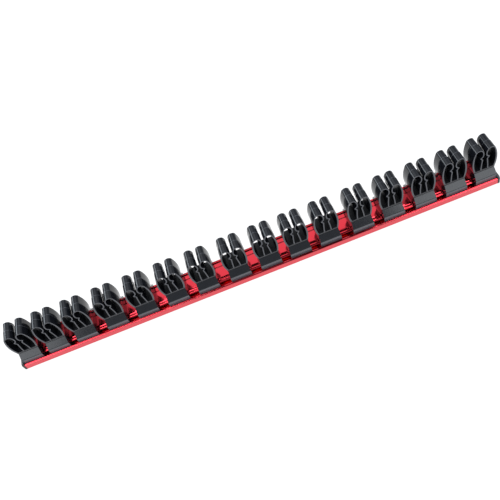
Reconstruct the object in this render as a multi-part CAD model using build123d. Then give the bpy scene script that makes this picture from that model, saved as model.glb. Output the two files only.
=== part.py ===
from build123d import *
import os

# Screwdriver organizer: a red anodised channel rail that carries sixteen sprung plastic clips, each free to
# slide along it, with magnets under the rail. Sizes are in millimetres. X runs along the rail, Y across it
# and Z up. The origin is under the middle of the rail, on the flat surface that the organizer rests on.

# Rail, an extruded channel with a raised deck, which reaches nearer to the back lip than to the front one
rail_length = 453.6
rail_width = 31.2
lip_height = 6.2
lip_overhang = 1.0
lip_thickness = 1.3
side_wall = 1.0
slot_width = 4.1
back_slot_width = 1.5
channel_floor = 1.3
deck_height = 7.1
deck_wall = 1.4
deck_roof = 2.0
deck_edge_radius = 1.6
land_width = 13.3
land_rise = 1.0
land_slope = 1.7
edge_radius = 0.6
deck_groove_width = 0.7
deck_groove_depth = 0.3
lip_groove_width = 0.6
lip_groove_depth = 0.3

# Pad and magnets under the rail
pad_thickness = 0.5
pad_inset = 1.2
pad_corner_radius = 3.0
magnet_count = 6
magnet_length = 48.0
magnet_edge = 0.3

# End caps
cap_thickness = 1.8
cap_proud = 0.3
cap_top_radius = 2.4
cap_low_radius = 1.0
cap_edge_radius = 0.5
plug_length = 9.0
plug_lead_in = 0.6

# Clip foot, which straddles the deck and hooks under both lips
foot_width = 19.6
foot_taper = 0.5
foot_height = 16.7
flare_height = 9.5
crease_height = 11.4
crease_radius = 1.6
shoulder_set_in = 0.1
core_wall = 1.8
core_rib = 1.6

# Clip arms, two hollow sprung horns with the jaw for the shaft between them
neck_height = 0.3
neck_set_in = 0.8
bridge_thickness = 1.6
arm_depth = 17.3
arm_half_width = 11.0
arm_height = 26.0
arm_wall = 1.1
outer_wall_gain = 0.4

# Clearances
slide_clearance = 0.25
deck_clearance = 0.3
fit_clearance = 0.05
clip_gap = 0.3
overrun = 1.0

# The arm's centre line, as shares of its half width and of its height above the bridge's middle
root_share = (0.827, 0.0)
bulge_share = (0.985, 0.488)
corner_share = (0.785, 0.925)
crown_share = (0.505, 0.996)
tip_share = (0.262, 0.955)
inner_share = (0.123, 0.79)
throat_share = (0.173, 0.66)
notch_share = (0.341, 0.602)
heel_share = (0.195, 0.506)
leg_share = (0.245, 0.315)
toe_share = (0.290, 0.0)

# How far each clip is shifted from its even place, as a share of the free room between two clips' arms
place_shares = (0, -0.4987, -0.7581, -0.6533, -0.5885, -0.5137, -0.4838, -0.2145,
                -0.1746, -0.3092, -0.3691, 0.0050, 0.0499, 0.2045, 0.1795, 0)

# Sizes that follow from those above
half_rail = rail_width / 2
lip_width = side_wall + lip_overhang
half_deck = half_rail - lip_width - slot_width
half_land = land_width / 2
back_deck = half_rail - lip_width - back_slot_width
rail_top = pad_thickness + deck_height + land_rise
cavity_half = half_deck - deck_wall
cavity_height = deck_height - deck_roof
foot_outer = half_rail - lip_width - slide_clearance
foot_inner = half_deck + slide_clearance
foot_back_inner = back_deck + slide_clearance
hook_outer = half_rail - side_wall - slide_clearance
hook_top = lip_height - lip_thickness - slide_clearance
foot_bottom = channel_floor + deck_clearance
foot_roof = deck_height + land_rise + deck_clearance
foot_top_width = foot_width - 2 * foot_taper
shoulder_half = arm_depth / 2 + shoulder_set_in
bridge_width = 2 * root_share[0] * arm_half_width + arm_wall
clip_count = len(place_shares)
clip_span = rail_length - foot_width - 2 * clip_gap
clip_pitch = clip_span / (clip_count - 1)
clip_room = clip_pitch - 2 * arm_half_width - arm_wall


def clip_place(index):
    even = index * clip_pitch - clip_span / 2
    return even + place_shares[index] * clip_room


def closed_half(points):
    half = make_face(Polyline(*points, close=True))
    return half + mirror(half, about=Plane.YZ)


def v_groove(centre, top, width, depth):
    points = (centre - width / 2, top + overrun), (centre - width / 2, top), (centre, top - depth)
    points += (centre + width / 2, top), (centre + width / 2, top + overrun)
    return make_face(Polyline(*points, close=True))


def along_rail(section, length):
    return extrude(Plane.YZ * section, amount=length / 2, both=True)


def make_rail():
    section = closed_half((
        (0, deck_height + land_rise), (half_land - land_slope, deck_height + land_rise),
        (half_land, deck_height), (half_deck, deck_height), (half_deck, channel_floor),
        (half_rail - side_wall, channel_floor), (half_rail - side_wall, lip_height - lip_thickness),
        (half_rail - lip_width, lip_height - lip_thickness), (half_rail - lip_width, lip_height),
        (half_rail, lip_height), (half_rail, 0), (cavity_half, 0),
        (cavity_half, cavity_height), (0, cavity_height)))
    ledge = Rectangle(back_deck, deck_height, align=Align.MIN)
    ledge -= Rectangle(half_deck, deck_height, align=Align.MIN)
    section += ledge
    by_width = section.vertices().group_by(Axis.X)
    deck_edges = [corners.sort_by(Axis.Y)[-1] for corners in (by_width[3], by_width[-4])]
    section = fillet(deck_edges, deck_edge_radius)
    by_width = section.vertices().group_by(Axis.X)
    section = fillet(by_width[0] + by_width[-1], edge_radius)
    for side in (-1, 1):
        section -= v_groove(
            side * (half_land + deck_groove_width / 2), deck_height, deck_groove_width, deck_groove_depth)
        section -= v_groove(side * (half_rail - lip_width / 2), lip_height, lip_groove_width, lip_groove_depth)
    return Pos(0, 0, pad_thickness) * along_rail(section, rail_length)


def make_pad():
    outline = RectangleRounded(rail_length - 2 * pad_inset, rail_width - 2 * pad_inset, pad_corner_radius)
    return extrude(outline, amount=pad_thickness)


def make_magnet(index):
    room = rail_length - 2 * plug_length
    place = ((index + 0.5) / magnet_count - 0.5) * room
    width = 2 * (cavity_half - slide_clearance)
    height = cavity_height - fit_clearance
    block = Box(magnet_length, width, height, align=(Align.CENTER, Align.CENTER, Align.MIN))
    block = chamfer(block.edges().filter_by(Axis.Z), magnet_edge)
    return Pos(place, 0, pad_thickness) * block


def make_end_cap(side):
    top = rail_top + cap_proud
    low = pad_thickness
    half = half_rail + cap_proud
    outline = Pos(0, (top + low) / 2) * Rectangle(2 * half, top - low)
    outline = fillet(outline.vertices().group_by(Axis.Y)[-1], cap_top_radius)
    outline = fillet(outline.vertices().group_by(Axis.Y)[0], cap_low_radius)
    plate = extrude(Plane.YZ * outline, amount=cap_thickness)
    plate = fillet(plate.faces().sort_by(Axis.X)[-1].edges(), cap_edge_radius)
    plug = Pos(0, 0, pad_thickness) * Box(
        plug_length, 2 * (cavity_half - fit_clearance), cavity_height - fit_clearance,
        align=(Align.MAX, Align.CENTER, Align.MIN))
    plug = chamfer(plug.faces().sort_by(Axis.X)[0].edges(), plug_lead_in)
    cap = Pos(rail_length / 2, 0, 0) * (plate + plug)
    return cap if side > 0 else mirror(cap, about=Plane.YZ)


def make_foot():
    side_view = closed_half((
        (0, foot_roof), (foot_inner, foot_roof), (foot_inner, foot_bottom), (hook_outer, foot_bottom),
        (hook_outer, hook_top), (foot_outer, hook_top), (foot_outer, crease_height),
        (shoulder_half, foot_height), (0, foot_height)))
    creases = side_view.vertices().group_by(Axis.Y)[-2]
    side_view = fillet(creases, crease_radius)
    foot = along_rail(side_view, foot_width)
    front_view = closed_half((
        (0, 0), (foot_width / 2, 0), (foot_width / 2, flare_height),
        (foot_top_width / 2, foot_height), (0, foot_height)))
    foot &= extrude(Plane.XZ * front_view, amount=half_rail, both=True)
    foot -= Pos(0, 0, foot_bottom) * Box(
        foot_width, foot_back_inner, foot_roof - foot_bottom, align=(Align.CENTER, Align.MIN, Align.MIN))
    core_width = foot_top_width / 2 - core_wall - core_rib / 2
    core_depth = 2 * (shoulder_half - core_wall)
    core_height = foot_height - core_wall - foot_roof
    core = Pos(0, 0, foot_roof) * Box(
        core_width, core_depth, core_height, align=(Align.MIN, Align.CENTER, Align.MIN))
    foot -= Pos(core_rib / 2, 0, 0) * core
    foot -= Pos(-core_rib / 2 - core_width, 0, 0) * core
    return foot


def arm_point(share):
    return share[0] * arm_half_width, share[1] * arm_height


def make_arm_loop(set_in):
    points = [arm_point(share) for share in (
        root_share, bulge_share, corner_share, crown_share, tip_share, inner_share,
        throat_share, notch_share, heel_share, leg_share, toe_share)]
    root, bulge, corner, crown, tip, inner, throat, notch, heel, leg, toe = points
    root = (root[0] - set_in, root[1])
    bulge = (bulge[0] - set_in, bulge[1])
    centre_line = ThreePointArc(root, bulge, corner) + ThreePointArc(corner, crown, tip)
    centre_line += ThreePointArc(tip, inner, throat) + Polyline(throat, notch, heel)
    centre_line += ThreePointArc(heel, leg, toe) + Line(toe, root)
    return make_face(centre_line)


def make_arm_face():
    skin = offset(make_arm_loop(0), arm_wall / 2)
    hollow = offset(make_arm_loop(outer_wall_gain), -arm_wall / 2, kind=Kind.INTERSECTION)
    return skin - hollow


def make_arms():
    face = make_arm_face()
    bridge = Rectangle(bridge_width, bridge_thickness)
    profile = face + mirror(face, about=Plane.YZ) + bridge
    return extrude(Plane.XZ * profile, amount=arm_depth / 2, both=True)


def make_clip():
    neck_top = foot_height + neck_height
    neck = Pos(0, 0, foot_height) * Box(
        bridge_width - 2 * neck_set_in, arm_depth - 2 * neck_set_in, neck_height,
        align=(Align.CENTER, Align.CENTER, Align.MIN))
    arms = Pos(0, 0, neck_top + bridge_thickness / 2) * make_arms()
    return Pos(0, 0, pad_thickness) * (make_foot() + neck + arms)


os.makedirs("parts", exist_ok=True)
export_step(make_rail(), "parts/rail.step")
export_step(make_pad(), "parts/base_pad.step")
export_step(make_end_cap(-1), "parts/left_end_cap.step")
export_step(make_end_cap(1), "parts/right_end_cap.step")
for magnet in range(magnet_count):
    export_step(make_magnet(magnet), f"parts/magnet_{magnet + 1}.step")
clip = make_clip()
for place in range(clip_count):
    export_step(Pos(clip_place(place), 0, 0) * clip, f"parts/clip_{place + 1:02d}.step")
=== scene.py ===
import math

import bmesh
import bpy
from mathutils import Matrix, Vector


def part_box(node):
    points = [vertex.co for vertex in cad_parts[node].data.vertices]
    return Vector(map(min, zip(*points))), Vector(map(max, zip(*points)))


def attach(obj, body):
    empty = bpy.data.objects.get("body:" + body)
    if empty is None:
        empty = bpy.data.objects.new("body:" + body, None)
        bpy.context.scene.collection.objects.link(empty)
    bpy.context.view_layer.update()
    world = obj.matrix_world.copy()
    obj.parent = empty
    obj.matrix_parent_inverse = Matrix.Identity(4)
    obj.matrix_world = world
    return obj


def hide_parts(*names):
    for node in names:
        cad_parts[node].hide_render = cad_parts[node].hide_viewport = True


# Looks of the screwdriver organizer: black moulded clips on a red anodised rail, on a white studio floor.
# Every size is in metres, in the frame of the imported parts.

MM = 0.001

# Camera, at the photograph's viewing angle
camera_place = (11.85 * MM, -344.55 * MM, 478.09 * MM)
camera_turn = (34.867, 13.741, -16.850)
camera_lens = 46.459
camera_sensor = 36.0
camera_reach = (0.01, 20.0)

# Counts of the pieces that repeat
clip_count = 16
magnet_count = 6

# Meshes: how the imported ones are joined, and how edges are rounded
weld_distance = 0.02 * MM
cut_distance = 0.002 * MM
flat_angle = 0.5
edge_segments = 3
edge_profile = 0.5
clip_edge_radius = 0.16 * MM
clip_edge_angle = 28.0
rail_edge_radius = 0.12 * MM
rail_edge_angle = 35.0

# Moulded horns of the clips: where they start, their draft, and the step where the mould's halves met.
# Each horn is a loop around loop_middle, its x and z. The limits tell end faces and hollow faces apart.
arms_start = 17.49 * MM
loop_middle = (5.6 * MM, 31.0 * MM)
end_face_limit = 0.5
flat_limit = 0.1
inside_limit = 0.5
draft_start = 19.2 * MM
front_draft = 0.08 * MM
back_draft = 0.35 * MM
seam_rise = 0.14 * MM
seam_step = 0.26 * MM
seam_width = 0.12 * MM

# Zones of the clips' plastic, by height, by depth and by the way that a face looks. Where a zone has two
# values, it blends from the first to the second.
skirt_end = 12.3 * MM
horns_start = 19.1 * MM
zone_blend = 0.5 * MM
horn_blend = (1.0 * MM, 2.0 * MM)
# Band either side of the middle depth where the horns get a painted highlight along the seam
seam_highlight_band = (0.22 * MM, 0.286 * MM)
end_face_turn = (0.9, 0.98)
side_face_turn = (0.70, 0.85)

# Looks of the clips' plastic: the shares tell how much painted light a zone's end faces get, or how much of
# its gloss it keeps
plastic_tones = ((0.0040, 0.0045, 0.0062), (0.0075, 0.0083, 0.0112))
# Paler grey of the painted light on the end faces and of the painted highlight along the seam
painted_light_tone = (0.062, 0.065, 0.075)
skirt_painted_light_share = 1.1
bridge_painted_light_share = 0.35
polished_roughness = (0.08, 0.14)
etched_roughness = (0.13, 0.19)
core_roughness = (0.38, 0.50)
plain_gloss = 0.5
horn_gloss = 0.37
etched_gloss_share = 0.5
# Painted shade: the side faces of the horns' front half keep only this share of their gloss, so they show
# dark
shaded_front_side_gloss_share = 0.08
core_gloss_share = 0.55
plastic_index = 1.5
plastic_cloud_scale = 160.0
plastic_drag = {"scale": 900.0, "detail": 3.0, "stretch": (1.0, 0.06, 1.0)}
plastic_fine = {"scale": 4500.0, "detail": 2.0}
plastic_fine_bump = (0.006 * MM, 0.2)
plastic_drag_bump = (0.015 * MM, 0.25)

# Looks of the anodised rail: its tone on the flats, and the paler, pinker tone of a painted sheen on its
# outer sides
anodised_tones = ((0.70, 0.020, 0.036), (0.76, 0.027, 0.046))
# Paler, pinker red of the painted sheen on the rail's outer sides, and the distance from the middle where
# it starts
painted_sheen_tone = (0.69, 0.060, 0.078)
painted_sheen_zone = (15.0 * MM, 15.2 * MM)
anodised_roughness = (0.08, 0.13)
oxide_weight = 0.5
oxide_roughness = 0.06
oxide_index = 1.5
die_lines = {"scale": 2200.0, "detail": 3.0, "stretch": (0.004, 1.0, 1.0)}
anodised_cloud_scale = 60.0
anodised_speck = {"scale": 5200.0, "detail": 2.0, "stretch": (0.35, 1.0, 1.0)}
speck_bump = (0.0005 * MM, 0.05)
die_line_bump = (0.001 * MM, 0.05)

# Looks of the end caps
cap_tones = ((0.014, 0.0145, 0.016), (0.024, 0.025, 0.027))
cap_roughness = (0.38, 0.55)
cap_cloud_scale = 220.0
cap_fine = {"scale": 3200.0, "detail": 3.0}
cap_bump = (0.03 * MM, 0.5)

# Looks of the pad
pad_tones = ((0.016, 0.016, 0.017), (0.030, 0.030, 0.031))
pad_roughness = (0.75, 0.9)
pad_cloud_scale = 120.0
pad_cell_scale = 1400.0
pad_bump = (0.08 * MM, 0.6)

# Looks of the magnets
nickel_tones = ((0.42, 0.41, 0.39), (0.60, 0.59, 0.56))
nickel_roughness = (0.18, 0.4)
nickel_marks = {"scale": 700.0, "detail": 5.0}
nickel_bump = (0.02 * MM, 0.3)

# Noise: its own roughness, and the part of its range that the looks are spread over
grain_roughness = 0.55
grain_range = (0.3, 0.7)
full_range = (0.0, 1.0)

# Floor
floor_drop = 0.02 * MM
floor_size = (6.0, 6.0)
floor_tones = ((0.14, 0.14, 0.14), (0.16, 0.16, 0.16))
floor_cloud_scale = 3.0
floor_roughness = 0.7
floor_glow = 0.9

# Studio: each soft box has its place, its width and height, its radiance and its tint
cool_white = (0.92, 0.96, 1.0)
window_tint = (0.86, 0.94, 1.0)
room_tint = (0.86, 0.92, 1.0)
room_radiance = 0.5
light_panels = (
    ("left_box", (-0.42, 0.02, 0.85), (0.80, 0.70), 4.5, cool_white),
    ("right_box", (0.58, 0.02, 0.85), (0.80, 0.70), 4.5, cool_white),
    ("left_front_box", (-0.66, -0.62, 0.42), (0.50, 0.45), 2.9, cool_white),
    ("right_front_box", (0.52, -0.66, 0.42), (0.50, 0.45), 3.0, cool_white),
    ("back_box", (0.0, 0.75, 0.75), (0.70, 0.80), 0.7, cool_white),
    ("window", (-0.78, 0.62, 0.52), (0.50, 0.34), 5.0, window_tint),
)
dark_card_place = (0.09, -0.22, 0.75)
dark_card_size = (0.40, 1.30)
dark_card_tone = (0.02, 0.02, 0.02)

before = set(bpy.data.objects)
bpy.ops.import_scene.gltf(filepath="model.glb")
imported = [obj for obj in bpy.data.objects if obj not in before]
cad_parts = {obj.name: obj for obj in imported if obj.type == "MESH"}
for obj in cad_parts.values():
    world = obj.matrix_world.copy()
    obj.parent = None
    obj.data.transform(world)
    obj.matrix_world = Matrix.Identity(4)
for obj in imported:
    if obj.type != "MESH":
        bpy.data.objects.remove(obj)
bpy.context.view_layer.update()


def middle_of(node):
    low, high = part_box(node)
    return (low + high) / 2


def shader(name):
    material = bpy.data.materials.new(name)
    material.use_nodes = True
    return material, material.node_tree.nodes, material.node_tree.links


def set_values(node, **values):
    for name, value in values.items():
        node.inputs[name.replace("_", " ")].default_value = value


def add_node(nodes, kind, **settings):
    node = nodes.new(kind)
    for name, value in settings.items():
        setattr(node, name, value)
    return node


def object_place(nodes):
    return add_node(nodes, "ShaderNodeTexCoord").outputs["Object"]


def split(nodes, links, vector):
    """The vector's parts along X, Y and Z."""
    parts = add_node(nodes, "ShaderNodeSeparateXYZ")
    links.new(vector, parts.inputs["Vector"])
    return parts.outputs


def grain(nodes, links, source, scale, detail=4.0, stretch=(1.0, 1.0, 1.0)):
    """Noise on the given coordinates, stretched along the axes where stretch is below 1."""
    mapping = add_node(nodes, "ShaderNodeMapping")
    mapping.inputs["Scale"].default_value = stretch
    links.new(source, mapping.inputs["Vector"])
    noise = add_node(nodes, "ShaderNodeTexNoise")
    set_values(noise, Scale=scale, Detail=detail, Roughness=grain_roughness)
    links.new(mapping.outputs["Vector"], noise.inputs["Vector"])
    return noise.outputs["Fac"]


def spread(nodes, links, factor, values, over=grain_range):
    """The factor's range over, spread from the first of the two values to the second."""
    node = add_node(nodes, "ShaderNodeMapRange")
    node.inputs["From Min"].default_value = over[0]
    node.inputs["From Max"].default_value = over[1]
    node.inputs["To Min"].default_value = values[0]
    node.inputs["To Max"].default_value = values[1]
    links.new(factor, node.inputs["Value"])
    return node.outputs["Result"]


def mixed_tones(nodes, links, factor, tones):
    mix = add_node(nodes, "ShaderNodeMix", data_type="RGBA")
    mix.inputs["A"].default_value = (*tones[0], 1.0)
    mix.inputs["B"].default_value = (*tones[1], 1.0)
    links.new(factor, mix.inputs["Factor"])
    return mix.outputs["Result"]


def toned(nodes, links, factor, colour, tone, **settings):
    """The colour, mixed towards the tone by the factor."""
    mix = add_node(nodes, "ShaderNodeMix", data_type="RGBA", **settings)
    mix.inputs["B"].default_value = (*tone, 1.0)
    links.new(factor, mix.inputs["Factor"])
    links.new(colour, mix.inputs["A"])
    return mix.outputs["Result"]


def mixed_values(nodes, links, factor, first, second):
    mix = add_node(nodes, "ShaderNodeMix", data_type="FLOAT")
    links.new(factor, mix.inputs["Factor"])
    links.new(first, mix.inputs["A"])
    links.new(second, mix.inputs["B"])
    return mix.outputs["Result"]


def size_of(nodes, links, value):
    size = add_node(nodes, "ShaderNodeMath", operation="ABSOLUTE")
    links.new(value, size.inputs[0])
    return size.outputs["Value"]


def combined(nodes, links, operation, first, second):
    node = add_node(nodes, "ShaderNodeMath", operation=operation)
    links.new(first, node.inputs[0])
    links.new(second, node.inputs[1])
    return node.outputs["Value"]


def bump(nodes, links, height, relief, normal=None):
    """A bump whose relief gives its distance and its strength, on top of the normal."""
    node = add_node(nodes, "ShaderNodeBump")
    set_values(node, Distance=relief[0], Strength=relief[1])
    links.new(height, node.inputs["Height"])
    if normal is not None:
        links.new(normal, node.inputs["Normal"])
    return node.outputs["Normal"]


def clip_plastic():
    """Black moulding, etched before the seam and polished behind it, with painted light: end faces painted
    paler grey, a painted highlight along the seam, and painted shade on the sides of the horns' front half.
    """
    material, nodes, links = shader("clip_plastic")
    plastic = nodes["Principled BSDF"]
    place = object_place(nodes)
    level = split(nodes, links, place)
    turn = split(nodes, links, add_node(nodes, "ShaderNodeTexCoord").outputs["Normal"])
    core = add_node(nodes, "ShaderNodeAttribute", attribute_name="inside").outputs["Fac"]

    # Zones
    # Painted light: faces that look to the front or back are painted paler grey, fully on the horns and the
    # skirt, partly on the bridge
    end_face = spread(nodes, links, size_of(nodes, links, turn["Y"]), full_range, end_face_turn)
    side_face = spread(nodes, links, size_of(nodes, links, turn["X"]), full_range, side_face_turn)
    above_bridge = (horns_start, horns_start + zone_blend)
    below_crease = (skirt_end - zone_blend, skirt_end)
    horns_painted_light = spread(nodes, links, level["Z"], (bridge_painted_light_share, 1.0), above_bridge)
    skirt_painted_light = spread(nodes, links, level["Z"], (skirt_painted_light_share, 0.0), below_crease)
    end_face_painted_light = combined(nodes, links, "MAXIMUM", horns_painted_light, skirt_painted_light)
    end_face_painted_light = combined(nodes, links, "MULTIPLY", end_face, end_face_painted_light)
    horn_feet = (horns_start + horn_blend[0], horns_start + horn_blend[1])
    on_horn = spread(nodes, links, level["Z"], full_range, horn_feet)
    # Painted highlight: a thin pale band along the seam on the horns, in place of the highlight on the step
    on_seam_highlight = spread(nodes, links, size_of(nodes, links, level["Y"]), (1.0, 0.0), seam_highlight_band)
    seam = combined(nodes, links, "MULTIPLY", on_seam_highlight, on_horn)
    painted_light = combined(nodes, links, "MAXIMUM", end_face_painted_light, seam)
    # Painted shade: the horns' side faces before the seam lose most of their gloss and show dark
    in_front = spread(nodes, links, level["Y"], (1.0, 0.0), (0.0, seam_width))
    shaded_front_side = combined(nodes, links, "MULTIPLY", in_front, side_face)
    shaded_front_side = combined(nodes, links, "MULTIPLY", shaded_front_side, on_horn)

    # Colour
    cloud = grain(nodes, links, place, plastic_cloud_scale)
    body = mixed_tones(nodes, links, cloud, plastic_tones)
    # The base tone, painted paler by the painted light on the end faces and by the painted highlight along
    # the seam
    colour = toned(nodes, links, painted_light, body, painted_light_tone, clamp_factor=False)
    links.new(colour, plastic.inputs["Base Color"])

    # Roughness
    drag = grain(nodes, links, place, **plastic_drag)
    polished = spread(nodes, links, drag, polished_roughness)
    etched = spread(nodes, links, drag, etched_roughness)
    outer = mixed_values(nodes, links, in_front, polished, etched)
    inner = spread(nodes, links, drag, core_roughness)
    links.new(mixed_values(nodes, links, core, outer, inner), plastic.inputs["Roughness"])

    # Gloss
    horn_part = spread(nodes, links, in_front, (1.0, etched_gloss_share), full_range)
    horn_part = combined(nodes, links, "MULTIPLY", horn_part, on_horn)
    outer_gloss = spread(nodes, links, horn_part, (plain_gloss, horn_gloss), full_range)
    side_share = spread(nodes, links, shaded_front_side, (1.0, shaded_front_side_gloss_share), full_range)
    core_share = spread(nodes, links, core, (1.0, core_gloss_share), full_range)
    gloss = combined(nodes, links, "MULTIPLY", outer_gloss, side_share)
    gloss = combined(nodes, links, "MULTIPLY", gloss, core_share)
    links.new(gloss, plastic.inputs["Specular IOR Level"])
    set_values(plastic, IOR=plastic_index)

    # Relief
    fine = grain(nodes, links, place, **plastic_fine)
    relief = bump(nodes, links, fine, plastic_fine_bump)
    links.new(bump(nodes, links, drag, plastic_drag_bump, relief), plastic.inputs["Normal"])
    return material


def red_anodised():
    """Extruded aluminium under a dyed, slightly glossy oxide layer, with a painted sheen: its outer sides
    painted paler and pinker.
    """
    material, nodes, links = shader("red_anodised")
    metal = nodes["Principled BSDF"]
    place = object_place(nodes)
    lines = grain(nodes, links, place, **die_lines)
    cloud = grain(nodes, links, place, anodised_cloud_scale)
    speck = grain(nodes, links, place, **anodised_speck)
    off_middle = size_of(nodes, links, split(nodes, links, place)["Y"])
    # Painted sheen: the outer sides are painted a paler, pinker red, in place of their whitish highlights
    painted_sheen = spread(nodes, links, off_middle, full_range, painted_sheen_zone)
    dyed = mixed_tones(nodes, links, cloud, anodised_tones)
    links.new(toned(nodes, links, painted_sheen, dyed, painted_sheen_tone), metal.inputs["Base Color"])
    links.new(spread(nodes, links, lines, anodised_roughness), metal.inputs["Roughness"])
    set_values(metal, Metallic=1.0)
    set_values(metal, Coat_Weight=oxide_weight, Coat_Roughness=oxide_roughness, Coat_IOR=oxide_index)
    relief = bump(nodes, links, speck, speck_bump)
    links.new(bump(nodes, links, lines, die_line_bump, relief), metal.inputs["Normal"])
    return material


def cap_plastic():
    """Matt black moulding with a fine spark-eroded grain."""
    material, nodes, links = shader("cap_plastic")
    plastic = nodes["Principled BSDF"]
    place = object_place(nodes)
    cloud = grain(nodes, links, place, cap_cloud_scale)
    fine = grain(nodes, links, place, **cap_fine)
    links.new(mixed_tones(nodes, links, cloud, cap_tones), plastic.inputs["Base Color"])
    links.new(spread(nodes, links, fine, cap_roughness), plastic.inputs["Roughness"])
    links.new(bump(nodes, links, fine, cap_bump), plastic.inputs["Normal"])
    return material


def pad_sheet():
    """Dark foamed rubber sheet with fine open cells."""
    material, nodes, links = shader("pad_sheet")
    rubber = nodes["Principled BSDF"]
    place = object_place(nodes)
    cells = add_node(nodes, "ShaderNodeTexVoronoi")
    set_values(cells, Scale=pad_cell_scale)
    links.new(place, cells.inputs["Vector"])
    cloud = grain(nodes, links, place, pad_cloud_scale)
    links.new(mixed_tones(nodes, links, cloud, pad_tones), rubber.inputs["Base Color"])
    links.new(spread(nodes, links, cloud, pad_roughness), rubber.inputs["Roughness"])
    links.new(bump(nodes, links, cells.outputs["Distance"], pad_bump), rubber.inputs["Normal"])
    return material


def magnet_metal():
    """Nickel plating over sintered magnet, with faint tumbling marks."""
    material, nodes, links = shader("magnet_metal")
    metal = nodes["Principled BSDF"]
    marks = grain(nodes, links, object_place(nodes), **nickel_marks)
    links.new(mixed_tones(nodes, links, marks, nickel_tones), metal.inputs["Base Color"])
    links.new(spread(nodes, links, marks, nickel_roughness), metal.inputs["Roughness"])
    set_values(metal, Metallic=1.0)
    links.new(bump(nodes, links, marks, nickel_bump), metal.inputs["Normal"])
    return material


def welded(node):
    """The node's mesh with its split corners joined and its flat facets merged."""
    shape = bmesh.new()
    shape.from_mesh(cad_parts[node].data)
    bmesh.ops.remove_doubles(shape, verts=shape.verts, dist=weld_distance)
    bmesh.ops.dissolve_limit(
        shape, angle_limit=math.radians(flat_angle), verts=shape.verts, edges=shape.edges)
    return shape


def round_edges(shape, radius, angle):
    """Gives a small radius to the edges that turn by more than that angle."""
    sharp = [edge for edge in shape.edges if edge.calc_face_angle(0.0) > math.radians(angle)]
    bmesh.ops.bevel(
        shape, geom=sharp, offset=radius, segments=edge_segments, profile=edge_profile, affect="EDGES",
        clamp_overlap=True, miter_outer="ARC")


def dressed(shape, name, material):
    """An object of that shape, with its flats evenly shaded."""
    mesh = bpy.data.meshes.new(name)
    for face in shape.faces:
        face.smooth = True
    shape.to_mesh(mesh)
    shape.free()
    mesh.materials.append(material)
    piece = bpy.data.objects.new(name, mesh)
    bpy.context.scene.collection.objects.link(piece)
    shade = piece.modifiers.new("shade", "WEIGHTED_NORMAL")
    shade.keep_sharp = True
    return piece


def settled(piece):
    """The piece's mesh with its modifiers applied."""
    graph = bpy.context.evaluated_depsgraph_get()
    mesh = bpy.data.meshes.new_from_object(piece.evaluated_get(graph))
    bpy.data.objects.remove(piece)
    return mesh


def cut_across(shape, depth):
    """Cuts the arms across at that depth and gives the points of the cut, its edges kept sharp."""
    faces = [face for face in shape.faces if min(v.co.z for v in face.verts) > arms_start]
    edges = {edge for face in faces for edge in face.edges}
    verts = {vert for face in faces for vert in face.verts}
    cut = bmesh.ops.bisect_plane(
        shape, geom=[*verts, *edges, *faces], dist=cut_distance,
        plane_co=(0, depth, 0), plane_no=(0, 1, 0))
    for edge in [part for part in cut["geom_cut"] if isinstance(part, bmesh.types.BMEdge)]:
        edge.smooth = False
    return [part for part in cut["geom_cut"] if isinstance(part, bmesh.types.BMVert)]


def mark_inside(shape):
    """Marks the faces inside the hollow horns, which a core shaped, and gives the mark's layer."""
    inside = shape.faces.layers.float.new("inside")
    shape.normal_update()
    for face in shape.faces:
        middle = face.calc_center_median()
        to_core = Vector((math.copysign(loop_middle[0], middle.x) - middle.x, 0, loop_middle[1] - middle.z))
        in_horn = middle.z > arms_start and abs(face.normal.y) < end_face_limit
        face[inside] = 1.0 if in_horn and face.normal.dot(to_core) > 0 else 0.0
    return inside


def grow(verts, inside, rise):
    """Moves the outer walls' points out by rise, across the horns, and leaves the hollow's points."""
    moves = []
    for vert in verts:
        across = Vector((vert.normal.x, 0, vert.normal.z))
        in_hollow = any(face[inside] > inside_limit for face in vert.link_faces)
        if across.length > flat_limit and not in_hollow:
            moves.append((vert, across.normalized() * rise))
    for vert, move in moves:
        vert.co += move


def draft_ends(shape, inside):
    """Draws the horns in towards their ends, so that each half of the mould lets go of them."""
    horns = [vert for vert in shape.verts if vert.co.z > draft_start]
    depth = max(vert.co.y for vert in horns)
    grow([vert for vert in horns if vert.co.y < weld_distance - depth], inside, -front_draft)
    grow([vert for vert in horns if vert.co.y > depth - weld_distance], inside, -back_draft)
    shape.normal_update()


def raise_seam(shape, inside):
    """Thickens the front half's walls towards the middle, where the halves of the mould met with a step."""
    cuts = [cut_across(shape, depth) for depth in (0.0, seam_width)]
    shape.normal_update()
    grow(cuts[0], inside, seam_rise)
    grow(cuts[1], inside, seam_rise - seam_step)


def make_clips(material):
    low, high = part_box("clip_01")
    centre = (low.x + high.x) / 2
    shape = welded("clip_01")
    bmesh.ops.translate(shape, verts=shape.verts, vec=(-centre, 0, 0))
    inside = mark_inside(shape)
    draft_ends(shape, inside)
    round_edges(shape, clip_edge_radius, clip_edge_angle)
    raise_seam(shape, inside)
    mesh = settled(dressed(shape, "clip_moulding", material))
    mesh.name = "clip_moulding"
    for number in range(1, clip_count + 1):
        node = f"clip_{number:02d}"
        piece = bpy.data.objects.new(f"moulded_{node}", mesh)
        bpy.context.scene.collection.objects.link(piece)
        piece.location.x = middle_of(node).x
        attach(piece, node)
        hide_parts(node)


def make_rail(material):
    shape = welded("rail")
    round_edges(shape, rail_edge_radius, rail_edge_angle)
    piece = dressed(shape, "anodised_rail", material)
    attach(piece, "rail")
    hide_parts("rail")


def finish_nodes(names, material):
    for name in names:
        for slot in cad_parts[name].material_slots:
            slot.material = material


def flat_sheet(name, size, material):
    """A level rectangle of that width and length, which faces up."""
    half_width, half_length = size[0] / 2, size[1] / 2
    corners = [(-half_width, -half_length, 0), (half_width, -half_length, 0),
               (half_width, half_length, 0), (-half_width, half_length, 0)]
    mesh = bpy.data.meshes.new(name)
    mesh.from_pydata(corners, [], [(0, 1, 2, 3)])
    mesh.materials.append(material)
    return bpy.data.objects.new(name, mesh)


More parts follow.
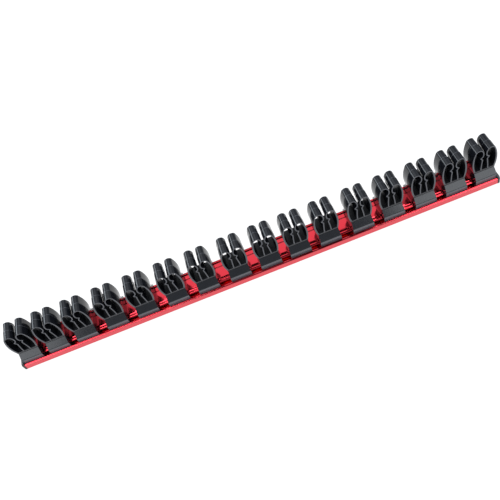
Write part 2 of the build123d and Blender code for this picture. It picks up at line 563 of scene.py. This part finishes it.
def make_floor():
    """The white sheet under the organizer, which glows by itself."""
    material, nodes, links = shader("studio_floor")
    paint = nodes["Principled BSDF"]
    cloud = grain(nodes, links, object_place(nodes), floor_cloud_scale)
    links.new(mixed_tones(nodes, links, cloud, floor_tones), paint.inputs["Base Color"])
    set_values(paint, Roughness=floor_roughness, Specular_IOR_Level=0.0)
    set_values(paint, Emission_Color=(1.0, 1.0, 1.0, 1.0), Emission_Strength=floor_glow)
    floor = flat_sheet("floor", floor_size, material)
    bpy.context.scene.collection.objects.link(floor)
    floor.location.z = -floor_drop


def make_camera():
    data = bpy.data.cameras.new("camera")
    data.sensor_width = camera_sensor
    data.lens = camera_lens
    data.clip_start, data.clip_end = camera_reach
    camera = bpy.data.objects.new("camera", data)
    camera.location = camera_place
    camera.rotation_euler = [math.radians(angle) for angle in camera_turn]
    bpy.context.scene.collection.objects.link(camera)
    bpy.context.scene.camera = camera


def hidden_from_camera(piece, place):
    """Sets a studio panel at its place, facing the object, where it shows only in reflections."""
    piece.location = place
    piece.rotation_euler = Vector(place).to_track_quat("Z", "Y").to_euler()
    piece.visible_camera = False
    bpy.context.scene.collection.objects.link(piece)


def light_panel(name, place, size, radiance, tint):
    """A soft box of that width and height, as bright as radiance, which faces the object."""
    data = bpy.data.lights.new(name, "AREA")
    data.shape = "RECTANGLE"
    data.size, data.size_y = size
    data.energy = radiance * math.pi * size[0] * size[1]
    data.color = tint
    hidden_from_camera(bpy.data.objects.new(name, data), place)


def dark_card():
    """The dark room behind the photographer, between the soft boxes."""
    material, nodes, _ = shader("dark_card")
    set_values(nodes["Principled BSDF"], Base_Color=(*dark_card_tone, 1.0), Roughness=1.0)
    card = flat_sheet("dark_card", dark_card_size, material)
    hidden_from_camera(card, dark_card_place)


def make_lights():
    world = bpy.data.worlds.new("studio")
    world.use_nodes = True
    sky = world.node_tree.nodes["Background"]
    sky.inputs["Color"].default_value = (*room_tint, 1.0)
    sky.inputs["Strength"].default_value = room_radiance
    bpy.context.scene.world = world
    for name, place, size, radiance, tint in light_panels:
        light_panel(name, place, size, radiance, tint)
    dark_card()
    bpy.context.scene.view_settings.view_transform = "Standard"


make_camera()
make_clips(clip_plastic())
make_rail(red_anodised())
finish_nodes(("left_end_cap", "right_end_cap"), cap_plastic())
finish_nodes(("base_pad",), pad_sheet())
finish_nodes([f"magnet_{number}" for number in range(1, magnet_count + 1)], magnet_metal())
make_floor()
make_lights()
